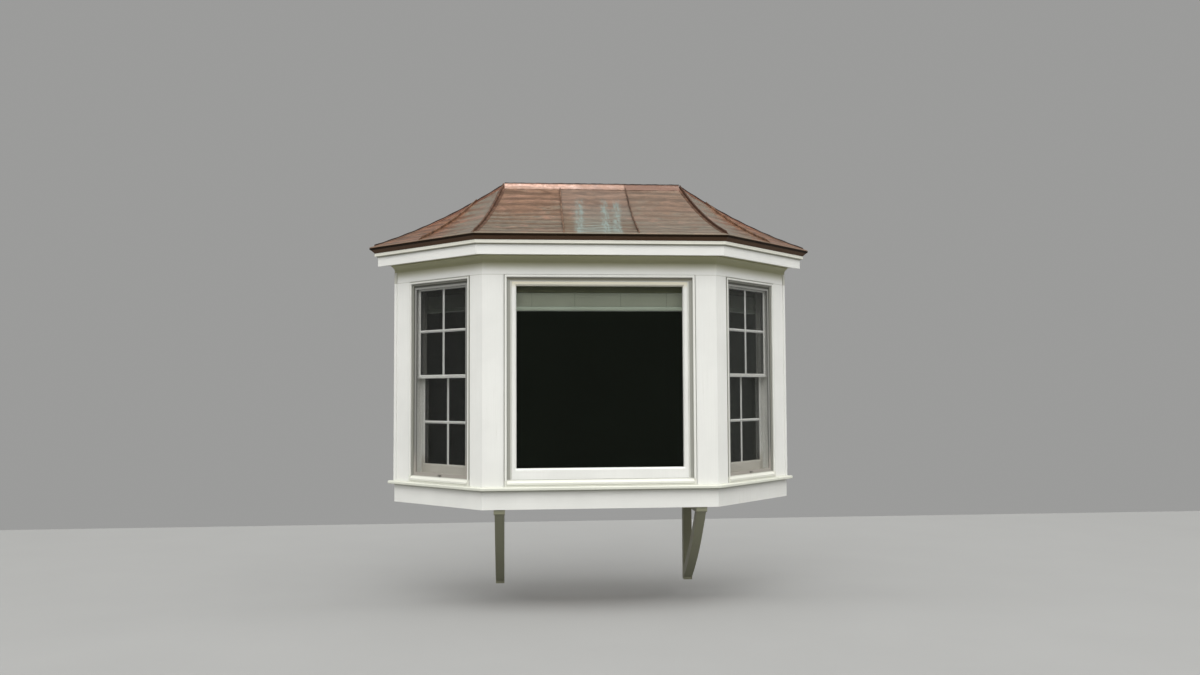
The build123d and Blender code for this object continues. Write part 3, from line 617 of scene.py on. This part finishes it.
class BAY_OT_paintwork(bpy.types.Operator):
    """Paint the boards, mouldings, frames and brackets, and round their edges"""
    bl_idname = "bay.paintwork"
    bl_label = "Paintwork"

    def execute(self, context):
        white = np.array(context.scene.bay_colours.paint)
        joinery = (white * (1.0, 1.0, 0.985), "up", 0.25, 0.36)
        shadow = [(SKIRT - 0.014, SKIRT - 0.005, 0.0, 0.8, (0.34, 0.34, 0.27))]
        under_frieze = [(FRIEZE - 0.0040, FRIEZE - 0.0025, 0.0, 0.6, (0.42, 0.41, 0.33))]
        # Painted shade with an olive cast of bounced light: on the top of the frieze, under the crown and on
        # the top rail of the picture sash.
        shade_under_soffit = [(SOFFIT - 0.115, SOFFIT - 0.045, 0.0, 0.90, (0.44, 0.43, 0.27))]
        shade_under_crown = [(CROWN + 0.006, CROWN + 0.009, 0.9, 0.0, (0.26, 0.26, 0.21))]
        shade_under_head = [(PICTURE_HEAD - 0.115, PICTURE_HEAD - 0.070, 0.0, 0.9, (0.82, 0.77, 0.62))]
        sash_foot = [(SILL + 0.085, SILL + 0.16, 0.9, 0.0, (0.75, 0.715, 0.665))]
        # Painted shade: the frames are darker at the sill, where their top faces catch the light.
        frame_foot_shade = [(SILL - 0.010, SILL + 0.006, 0.9, 0.0, (0.84, 0.84, 0.80))]
        # Painted shade in the steps of the frames and under their heads.
        side_steps = (0.0045, 0.0195, 0.85, SIDE_OPENING + 0.03, HEAD + 0.03, (0.25, 0.245, 0.19))
        front_steps = (0.0045, 0.0135, 0.75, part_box("picture_frame")[1][0], PICTURE_HEAD, (0.30, 0.27, 0.185))
        for name, nodes, *look in (
                ("fascia_paint", ["fascia"], np.minimum(white * (1.07, 1.07, 1.07), 0.9), "front", 0.2),
                ("skirt_paint_front", ["skirt_front"], white, "front", 0.35, 0.42, None, shadow),
                ("trim_paint_upright", both("corner_boards_{}", "wall_board_{}") + ["wall_strips"],
                 white, "up", 0.30, 0.42, None, under_frieze),
                ("trim_paint_left", ["skirt_left"], white, "left", 0.35, 0.42, None, shadow),
                # Painted shade: the right skirt is painted darker than the left one.
                ("trim_paint_right", ["skirt_right"], white * 0.9, "right", 0.45, 0.42, None, shadow),
                ("picture_sash_paint", ["picture_sash"], white, "up", 0.25, 0.36, None, shade_under_head),
                ("sash_paint", both("{}_upper_sash", "{}_lower_sash"), *joinery, None, sash_foot),
                ("frame_paint_left", ["left_window_frame"], *joinery, (-1, *side_steps), frame_foot_shade),
                ("frame_paint_front", ["picture_frame"], *joinery, (0, *front_steps), frame_foot_shade),
                ("frame_paint_right", ["right_window_frame"], *joinery, (1, *side_steps), frame_foot_shade),
                # Painted shade: the soffit and bed mould are white paint made dark olive for the shade and
                # green bounced light under the eave.
                ("soffit_paint", ["soffit", "bed_mould"], white * (0.46, 0.45, 0.28), "front", 0.5),
                ("frieze_paint", ["frieze"], white, "front", 0.35, 0.42, None, shade_under_soffit),
                ("crown_paint", ["shingle_mould"], white * (1.06, 1.05, 0.97), "front", 0.35, 0.42, None,
                 shade_under_crown),
                ("sill_paint", ["sill_nosing"], white * (0.82, 0.83, 0.76), "front", 0.6),
                # Painted shade: the brackets are white paint made dark olive for the deep shade under the bay.
                ("bracket_paint", both("bracket_{}"), white * (0.25, 0.25, 0.175), "up", 0.8, 0.5),
                # Painted shade: the room side is painted darker than the trim, for a dim room behind the glass.
                ("room_paint", ["seat_board", "head_board"] + both("front_post_{}", "wall_stud_{}"),
                 white * (0.80, 0.79, 0.76), "front", 0.1, 0.35)):
            settle(nodes, paint(name, *look))
        soften(both("skirt_{}", "corner_boards_{}", "wall_board_{}", "{}_window_frame", "{}_upper_sash",
                    "{}_lower_sash", "bracket_{}")
               + ["skirt_front", "sill_nosing", "fascia", "shingle_mould", "picture_frame", "picture_sash"],
               context.scene.bay_sizes.soft_edge)
        return {"FINISHED"}


class BAY_OT_framing(bpy.types.Operator):
    """Give the ledger, joists, rafters, deck and head framing their bare wood"""
    bl_idname = "bay.framing"
    bl_label = "Framing"

    def execute(self, context):
        wood = np.array(context.scene.bay_colours.wood)
        settle(["wall_ledger", "roof_ledger", "head_frame"], bare_wood("ledger_wood", wood, 0))
        settle(["platform_frame", "roof_rafters"], bare_wood("joist_wood", wood * 0.95, 90))
        settle(["roof_deck", "platform_bottom"], bare_wood("deck_wood", wood * (0.9, 0.88, 0.8), 0))
        return {"FINISHED"}


def pan_sheet(side, ripple):
    """Copper sheet of one facet. Rows run edge to edge across it at distance w from the eave, at height
    bell(w) plus waves as high as the ripple, one every 85 mm and a lower one every 195 mm up the slope,
    bent across it and fading out at the edges. The first rows turn down over the eave as the hem."""
    run = SIDE_RUN if side else FRONT_RUN
    w = np.r_[0, 0, 0, 0.0006, np.linspace(0.003, run - (0.0 if side else 0.002), 96)][:, None]
    drop = np.r_[0.0145, 0.007, 0.002, 0.0004, np.zeros(96)][:, None]
    u = np.linspace(0, 1, 121 if side else 181)[None]
    t = w / run
    if side == 0:
        half = EAVE_X + (TOP_HALF - EAVE_X) * t - MITRE
        along = half * (2 * u - 1)
        seams = np.minimum(np.abs(along - SEAM_X), np.abs(along + SEAM_X))
    else:
        low = t * (SIDE_EAVE - SIDE_RUN)
        high = SIDE_EAVE - w
        along = low + MITRE * (1 - t) + (high - low - MITRE * (1 - t)) * u
        seams = np.abs(along - SIDE_EAVE / 2)
    slope = w * np.hypot(1, ROOF_RISE / run) + along * 0
    wave = np.sin(slope / 0.0135 + 2.1 * np.sin(along * 9.0 + side) + 1.3 * np.sin(along * 23.0 + 2 * side))
    wave = wave + 0.6 * np.sin(slope / 0.031 + 1.5 * np.sin(along * 6.0) + 1.0)
    fade = np.clip(seams / 0.05, 0, 1) * np.clip(w / 0.05, 0, 1) * np.clip((run - w) / 0.08, 0, 1)
    fade = fade * np.clip(u / 0.06, 0, 1) * np.clip((1 - u) / 0.06, 0, 1)
    z = bell(run, w) - drop + ripple * (wave - 0.9) * fade
    inner = w + SHEET * (drop > 0)
    tucked = np.minimum(along, SIDE_EAVE - inner) if side else along
    top = on_roof(side, along, w, z)
    under = on_roof(side, tucked, inner, z - SHEET * (drop < 0.002))
    return shell(top, under, paired(along, slope))


def standing_seam(side, along, lean, height, stop):
    """Folded rib up a facet: a narrow foot and a wider fold above it, carried along bell(w). It drops over
    the last 3 cm to the eave, and its foot moves outwards by lean from top to eave."""
    run = SIDE_RUN if side else FRONT_RUN
    w = np.r_[0.0006, np.linspace(0.002, 0.03, 12), np.linspace(0.035, stop, 56)]
    along = along + lean * (1 - w / run) + 0.0005 * np.sin(w * 31 + along * 9)
    path = on_roof(side, along, w, bell(run, w) - 0.001)
    section = [(-0.0020, 0), (-0.0020, 0.45), (-0.0038, 0.47), (-0.0038, 0.93), (-0.0024, 1), (0.0024, 1),
               (0.0036, 0.93), (0.0036, 0.30), (0.0020, 0.28), (0.0020, 0)]
    across = on_roof(side, 1.0, 0.0, 0.0) - on_roof(side, 0.0, 0.0, 0.0)
    return carried(np.array(section) * (1, height), path, across, (0, 0, 1),
                   0.22 + 0.78 * np.clip(w / 0.03, 0, 1) ** 0.6)


def hip_cap(side, height):
    """Cap folded over a hip. A row is a share of the hip from eave to top, a column an offset v square to it
    in plan. Height = the roof there + a profile, 1.5 mm on the flanges and up to the rib in the middle."""
    share = np.r_[np.linspace(0.0, 0.035, 14), np.linspace(0.045, 0.991, 64)][:, None]
    half = np.array([0.0030, 0.0050, 0.0056, 0.0062, 0.012, 0.0235, 0.024])
    fall = np.array([height, 0.9 * height, 0.55 * height, 0.0018, 0.0015, 0.0015, 0.0002])
    rise = np.r_[fall[::-1], fall][None]
    grow = 0.2 + 0.8 * np.clip(share / 0.035, 0, 1) ** 0.6
    v = np.r_[-half[::-1], half][None] * np.clip(share / 0.035, 0.05, 1)
    square = np.array([FRONT_RUN, side * (EAVE_X - TOP_HALF)]) / np.hypot(FRONT_RUN, EAVE_X - TOP_HALF)
    x = side * (EAVE_X + (TOP_HALF - EAVE_X) * share) + v * square[0]
    y = -FRONT_RUN * (1 - share) + v * square[1]
    z = roof_height(x, y)
    return shell(paired(x, y, z + rise * grow - 0.0002), paired(x, y, z - 0.0010), paired(v, share * 0.89))


def wall_strip(side, width):
    """Flashing where a side pan meets the wall. A row is a place along the wall, a column a distance d out
    from it. Height = the pan there + a profile, about 2 mm on the flat and 9 mm on the lip at the wall."""
    x = np.linspace(TOP_HALF + 0.001, EAVE_X + FRONT_RUN - width - 0.0015, 110)[:, None]
    d = np.array([0.0003, 0.0005, 0.0024, 0.0028, 0.010, 0.020, width - 0.0012, width])[None]
    lift = np.array([0.0088, 0.0095, 0.0090, 0.0022, 0.0014, 0.0016, 0.0020, 0.0004])[None]
    pan = bell(SIDE_RUN, (FRONT_RUN - d - (x - EAVE_X)) / (2 * C45))
    top = paired(side * x, -d, pan + lift * (1 + 0.12 * np.sin(x * 60 + side)))
    return shell(top, paired(side * x, -d, pan - 0.0008), paired(x, d))


def flashing_length(left, right, lift):
    """One length of the top flashing, lapped over its neighbour by lift: an apron down the front and an
    upright edge, their section carried along x on a line that waves by 1 mm."""
    x = np.linspace(left, right, 50)
    wave = 0.0006 * np.sin(x * 47) + 0.0005 * np.sin(x * 113 + 1)
    foot = bell(FRONT_RUN, FRONT_RUN - APRON) - ROOF_TOP
    section = [(-APRON, foot + 0.0005), (0, 0.0005), (0, 0.016), (-0.0016, 0.016), (-0.0016, 0.0026),
               (-APRON, foot + 0.0022)]
    path = paired(x, x * 0 - lift * 0.4 - 0.0005, ROOF_TOP + lift + wave + 0.0006)
    return carried(section, path, (0, 1, 0), (0, 0, 1))


class BAY_OT_roof(bpy.types.Operator):
    """Lay the rippled copper pans, folded seams, hip caps and top flashing"""
    bl_idname = "bay.roof"
    bl_label = "Copper roof"

    def execute(self, context):
        sizes, colours = context.scene.bay_sizes, context.scene.bay_colours
        brown, grey, ember = (np.array(v) for v in (colours.copper, colours.copper_grey, colours.ember))
        runs = ((-0.141, 0.058, 0.027, 0.95), (0.035, 0.045, 0.025, 0.95), (0.105, 0.065, 0.026, 0.85))
        front = copper("copper_front", brown, grey, ember, "front", runs)
        flank = copper("copper_flank", brown * (1.15, 0.98, 0.9), grey, ember * (1.05, 0.8, 0.7), "flank")
        # Painted shade: the right front seam is a dark copy, its side turned from the light.
        seam = copper("copper_seam", brown * 0.5, brown * (0.62, 0.6, 0.58), ember * 0.45, "plain")
        edge = copper("copper_edge", brown * (0.27, 0.25, 0.20), brown * (0.31, 0.28, 0.22), ember * 0.20,
                      "edge")
        trim = copper("copper_wall_strip", brown * (0.85, 0.62, 0.55), brown * 0.7,
                      ember * (0.8, 0.6, 0.5), "wall")
        hips = copper("copper_hips", brown * (0.62, 0.53, 0.48), brown * (0.55, 0.52, 0.5), ember * 0.42,
                      "hips")
        strip = copper("copper_flashing", ember * (2.2, 2.6, 3.0), ember * (2.5, 3.4, 4.0),
                       ember * (2.8, 3.9, 5.0), "strip")
        # Painted light: a lighter copy of the seam copper for the left front seam and the side seams.
        worn = copper("copper_seam_lit", brown * 0.95, brown * (0.8, 0.8, 0.75), ember * 0.7, "plain")
        rib = sizes.seam_height
        for side, label, material in ((0, "front", front), (-1, "left", flank), (1, "right", flank)):
            make("copper_pan_" + label, [pan_sheet(side, sizes.ripple)], material,
                 replaces=["roof_pan_" + label])
        left, right = (standing_seam(0, x, np.sign(x) * 0.009, rib, FRONT_RUN - APRON - 0.004)
                       for x in (-SEAM_X + 0.004, SEAM_X - 0.004))
        flanks = [standing_seam(side, SIDE_EAVE / 2, 0.0, rib, SIDE_EAVE / 2 - 0.006) for side in (-1, 1)]
        make("standing_seams_lit", [left, *flanks], worn)
        make("standing_seam_right", [right], seam)
        make("hip_caps", [hip_cap(-1, rib), hip_cap(1, rib)], hips, replaces=["hip_seams"])
        make("wall_strips_copper", [wall_strip(-1, STRIP_WIDTH), wall_strip(1, STRIP_WIDTH)], trim)
        lengths = [flashing_length(-TOP_HALF + 0.0065, -SEAM_X + 0.012, 0),
                   flashing_length(-SEAM_X - 0.010, SEAM_X + 0.010, 0.0008),
                   flashing_length(SEAM_X - 0.012, TOP_HALF - 0.0065, 0)]
        make("top_flashing", lengths, strip, replaces=["roof_flashing"])
        settle(["drip_edge"], edge)
        return {"FINISHED"}


def bar(side, a, b, out, width, depth):
    """Moulded glazing bar between two (along, up) points: flat back, ogee sides and a flat nose."""
    a, b = np.asarray(a, float), np.asarray(b, float)
    path = on_face(side, np.array([a[0], b[0]]), out, np.array([a[1], b[1]]))
    along = (b - a) / np.linalg.norm(b - a)
    half = [(1, 0), (1, 0.25), (0.78, 0.34), (0.55, 0.62), (0.30, 0.94), (0.22, 1)]
    half = np.array(half) * (width / 2, depth)
    section = np.r_[half * (-1, 1), half[::-1]]
    return carried(section, path, direction(side, -along[1], 0.0, along[0]), direction(side, 0.0, 1.0, 0.0))


class BAY_OT_glazing(bpy.types.Operator):
    """Glaze the windows and fit the glazing bars of the side sashes"""
    bl_idname = "bay.glazing"
    bl_label = "Glass and bars"

    def execute(self, context):
        sizes, colours = context.scene.bay_sizes, context.scene.bay_colours
        # Painted reflection: the tint is doubled on the right glass and halved on the left, for the brighter
        # and darker reflections in them.
        for name, painted_reflection, cover, bending in (("picture_glass", 1.0, 0.10, 1.40),
                                            ("left_glass", 0.5, 0.40, 1.38),
                                            ("right_glass", 2.0, 0.34, 1.80)):
            settle([name], glazing(name, np.array(colours.glass) * painted_reflection, cover, bending))
        white = paint("bar_paint", np.array(colours.paint), "up", 0.2, 0.36)
        half, width = SIDE_OPENING - STILE, sizes.muntin_width
        for side, label in ((-1, "left"), (1, "right")):
            bars = []
            for low, high, cross, face in ((MEETING, HEAD - TOP_RAIL, 1.089, UPPER_GLASS),
                                           (SILL + BOTTOM_RAIL, MEETING - MEETING_RAIL, 0.479, LOWER_GLASS)):
                bars += [bar(side, (0, low), (0, high), -face, width, 0.006),
                         bar(side, (-half, cross), (half, cross), -face, width, 0.0056)]
            make("glazing_bars_" + label, bars, white, 30)
        return {"FINISHED"}


class BAY_OT_screens(bpy.types.Operator):
    """Stretch the insect mesh in the screen frames"""
    bl_idname = "bay.screens"
    bl_label = "Screens"

    def execute(self, context):
        sizes, colours = context.scene.bay_sizes, context.scene.bay_colours
        # Painted light: the screen frames turn paler towards the sill, where they stand in more light.
        dust = (SILL + 0.018, SILL + 0.22, (0.33, 0.305, 0.27))
        settle(both("{}_screen_lift"), coated_metal("lift_enamel", (0.16, 0.155, 0.14)))
        wire = wire_mesh("screen_wire", (0.030, 0.030, 0.028), sizes.wire_pitch, 0.28)
        half = SIDE_OPENING - SCREEN_HOLD
        along = np.linspace(-half, half, 25)[None]
        up = np.linspace(SILL + SCREEN_HOLD, HEAD - SCREEN_HOLD, 49)[:, None]
        for side, label in ((-1, "left"), (1, "right")):
            enamel = coated_metal("screen_enamel_" + label, np.array(colours.screen), 0.5, dust, side)
            settle([label + "_screen"], enamel)
            belly = 0.0008 * np.cos(along / half * np.pi / 2) * np.sin((up - SILL) / (HEAD - SILL) * np.pi)
            front = on_face(side, along, belly - SCREEN_BACK + WIRE, up)
            back = on_face(side, along, belly - SCREEN_BACK - WIRE, up)
            make("insect_mesh_" + label, [shell(front, back, paired(along, up))], wire)
        return {"FINISHED"}


def slat_stack(side, half, top, face, depth, count, height, seed):
    """Resting slats: each is a strip across the blind, crowned as z = 2.1 mm * (1 - (2 d / depth)^2)."""
    chance = np.random.default_rng(seed)
    solids = []
    pitch = height / count
    d = np.linspace(-depth / 2, depth / 2, 9)
    crown = SLAT_CROWN * (1 - (2 * d / depth) ** 2)
    section = np.r_[np.stack([d, crown + 0.45 * pitch], -1), np.stack([d, crown], -1)[::-1]]
    along = np.linspace(-half, half, 7)
    for i in range(count):
        push, sag, tilt = chance.normal(0, 0.0006), abs(chance.normal(0, 0.0004)), chance.normal(0, 0.0002)
        z = top - (i + 1) * pitch + sag * ((along / half) ** 2 - 1) + tilt * along / half
        path = on_face(side, along + push, -(face + depth / 2) + push, z)
        solids.append(carried(section, path, direction(side, 0.0, 1.0, 0.0), (0, 0, 1)))
    return solids


def block(side, half, low, high, face, depth, rounding):
    """Rail with rounded long edges: its section is carried from one end to the other."""
    a = np.linspace(0, np.pi / 2, 5)
    c, s = np.cos(a) * rounding, np.sin(a) * rounding
    w, h = depth / 2 - rounding, (high - low) / 2 - rounding
    section = np.r_[paired(w + c, h + s), paired(-w - s, h + c),
                    paired(-w - c, -h - s), paired(w + s, -h - c)]
    path = on_face(side, np.linspace(-half, half, 3), -(face + depth / 2), (low + high) / 2)
    return carried(section, path, direction(side, 0.0, 1.0, 0.0), (0, 0, 1))


class BAY_OT_blinds(bpy.types.Operator):
    """Hang the raised blinds: head rail, stacked slats, bottom rail and ladder cords"""
    bl_idname = "bay.blinds"
    bl_label = "Blinds"

    def execute(self, context):
        slats = np.array(context.scene.bay_colours.slats)
        count = context.scene.bay_sizes.slat_count
        enamel = coated_metal("blind_enamel", slats, 0.42)
        # Painted shade: the head rail is dark for the shade under the window head.
        rail = coated_metal("head_rail_enamel_shaded", slats * (0.19, 0.19, 0.12), 0.5)
        foot = coated_metal("bottom_rail_enamel", slats * (0.66, 0.70, 0.72), 0.42)
        tape = coated_metal("ladder_cord", slats * 0.6, 0.8)
        for side, name, half, face, ladders in (
                (0, "picture_blind", 0.558, 0.070, (-0.44, -0.161, 0.139, 0.44)),
                (-1, "left_blind", SIDE_OPENING - 0.001, 0.1183, (-0.17, 0.17)),
                (1, "right_blind", SIDE_OPENING - 0.001, 0.1183, (-0.17, 0.17))):
            low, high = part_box(name)[0][2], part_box(name)[1][2]
            top, bottom = high - HEAD_RAIL, low + FOOT_RAIL
            make(name + "_head_rail", [block(side, half, top, high, face, 0.048, 0.003)], rail)
            stack = slat_stack(side, half - 0.004, top - 0.002, face + 0.002, 0.044, count,
                               top - bottom - 0.004, 7 + side)
            make(name + "_slats", stack, enamel, replaces=[name])
            make(name + "_bottom_rail", [block(side, half - 0.003, low, bottom, face + 0.001, 0.046, 0.005)],
                 foot)
            cords = [bar(side, (x, low + 0.004), (x, top + 0.004), -(face + behind), 0.003, 0.0012)
                     for x in ladders for behind in (0.0008, 0.0472)]
            make(name + "_cords", cords, tape)
        return {"FINISHED"}


def past_glass(tree):
    """1 where the camera sees the stage through glass, where a house would have a dim room."""
    path = tree.nodes.new("ShaderNodeLightPath").outputs
    return product(path["Is Camera Ray"], sums("GREATER_THAN", path["Transparent Depth"], 0.5))


class BAY_OT_stage(bpy.types.Operator):
    """Set the camera, the soft studio light and the pale floor"""
    bl_idname = "bay.stage"
    bl_label = "Camera, light and floor"

    def execute(self, context):
        scene = context.scene
        yaw, pitch, roll = radians(4.946), radians(2.989), radians(0.288)
        turn = Matrix.Rotation(-yaw, 4, "Z") @ Matrix.Rotation(np.pi / 2 + pitch, 4, "X")
        lens = bpy.data.cameras.new("camera")
        lens.sensor_width = 36.0
        lens.lens = 30.567
        camera = bpy.data.objects.new("camera", lens)
        scene.collection.objects.link(camera)
        place = Matrix.Translation((-0.5679, -7.1305, 0.6843))
        camera.matrix_world = place @ turn @ Matrix.Rotation(-roll, 4, "Z")
        scene.camera = camera
        for name, place, target, size, power in (
                ("sky_panel", (-2.4, -6.2, 6.4), (0, -0.3, 0.7), (7.0, 5.0), 165),
                ("side_panel", (5.5, -4.0, 4.6), (0, -0.3, 0.9), (4.0, 3.0), 45),
                ("back_panel", (0.5, 6.0, 5.0), (0, 0, 1.0), (5.0, 3.0), 40)):
            light = bpy.data.lights.new(name, "AREA")
            light.shape = "RECTANGLE"
            light.size, light.size_y = size
            light.energy = power
            lamp = bpy.data.objects.new(name, light)
            lamp.location = place
            lamp.rotation_euler = (Vector(target) - Vector(place)).to_track_quat("-Z", "Y").to_euler()
            scene.collection.objects.link(lamp)
        world = bpy.data.worlds.new("studio")
        scene.world = world
        world.use_nodes = True
        tree = world.node_tree
        _, back, rise = apart(tree.nodes.new("ShaderNodeTexCoord").outputs["Generated"])
        share = node("MapRange", {"Value": rise, "From Min": -1.0, "From Max": 1.0}).outputs[0]
        ramp = node("ValToRGB", {0: share})
        stops = ((0.0, 0.30), (0.50, 0.33), (0.665, 0.33), (0.745, 1.45), (0.86, 2.95), (1.0, 3.1))
        for place, _ in stops[1:-1]:
            ramp.color_ramp.elements.new(place)
        for element, (_, value) in zip(ramp.color_ramp.elements, stops):
            element.color = (value, value, value * 0.985, 1.0)
        dome = mixed(step(back, -0.05, 0.30), ramp.outputs[0], tone((0.33, 0.33, 0.325)))
        seen = mixed(past_glass(tree), dome, tone((0.004, 0.005, 0.0035)))
        feed(tree.nodes["Background"].inputs["Color"], seen)
        scene.view_settings.view_transform = "Standard"
        material, tree = start("studio_floor")
        pale = mixed(noise(turned(tree), 1.4), tone((0.27, 0.27, 0.265)), tone((0.29, 0.29, 0.285)))
        pale = mixed(past_glass(tree), pale, tone((0.006, 0.007, 0.005)))
        mesh = bpy.data.meshes.new("studio_floor")
        corners = [(x, y, -0.726) for x, y in ((-12, -9), (12, -9), (12, 4), (-12, 4))]
        mesh.from_pydata(corners, [], [(0, 1, 2, 3)])
        mesh.materials.append(finish(material, {"Base Color": pale, "Roughness": 0.9}))
        floor = bpy.data.objects.new("studio_floor", mesh)
        scene.collection.objects.link(floor)
        return {"FINISHED"}


STEPS = (BAY_OT_stage, BAY_OT_paintwork, BAY_OT_framing, BAY_OT_roof, BAY_OT_glazing, BAY_OT_screens,
         BAY_OT_blinds)


class BAY_PT_panel(bpy.types.Panel):
    """Sizes, colours and steps of the bay window"""
    bl_idname = "BAY_PT_panel"
    bl_label = "Bay Window"
    bl_space_type = "VIEW_3D"
    bl_region_type = "UI"
    bl_category = "Bay"

    def draw(self, context):
        for group in (context.scene.bay_sizes, context.scene.bay_colours):
            box = self.layout.box()
            for key in group.__annotations__:
                box.prop(group, key)
        for operator in STEPS:
            self.layout.operator(operator.bl_idname)


CLASSES = (BaySizes, BayColours, *STEPS, BAY_PT_panel)


def register():
    for cls in CLASSES:
        bpy.utils.register_class(cls)
    bpy.types.Scene.bay_sizes = PointerProperty(type=BaySizes)
    bpy.types.Scene.bay_colours = PointerProperty(type=BayColours)


def unregister():
    del bpy.types.Scene.bay_colours
    del bpy.types.Scene.bay_sizes
    for cls in reversed(CLASSES):
        bpy.utils.unregister_class(cls)


def main():
    """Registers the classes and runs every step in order."""
    register()
    bpy.ops.bay.stage()
    bpy.ops.bay.paintwork()
    bpy.ops.bay.framing()
    bpy.ops.bay.roof()
    bpy.ops.bay.glazing()
    bpy.ops.bay.screens()
    bpy.ops.bay.blinds()


if __name__ == "__main__":
    main()
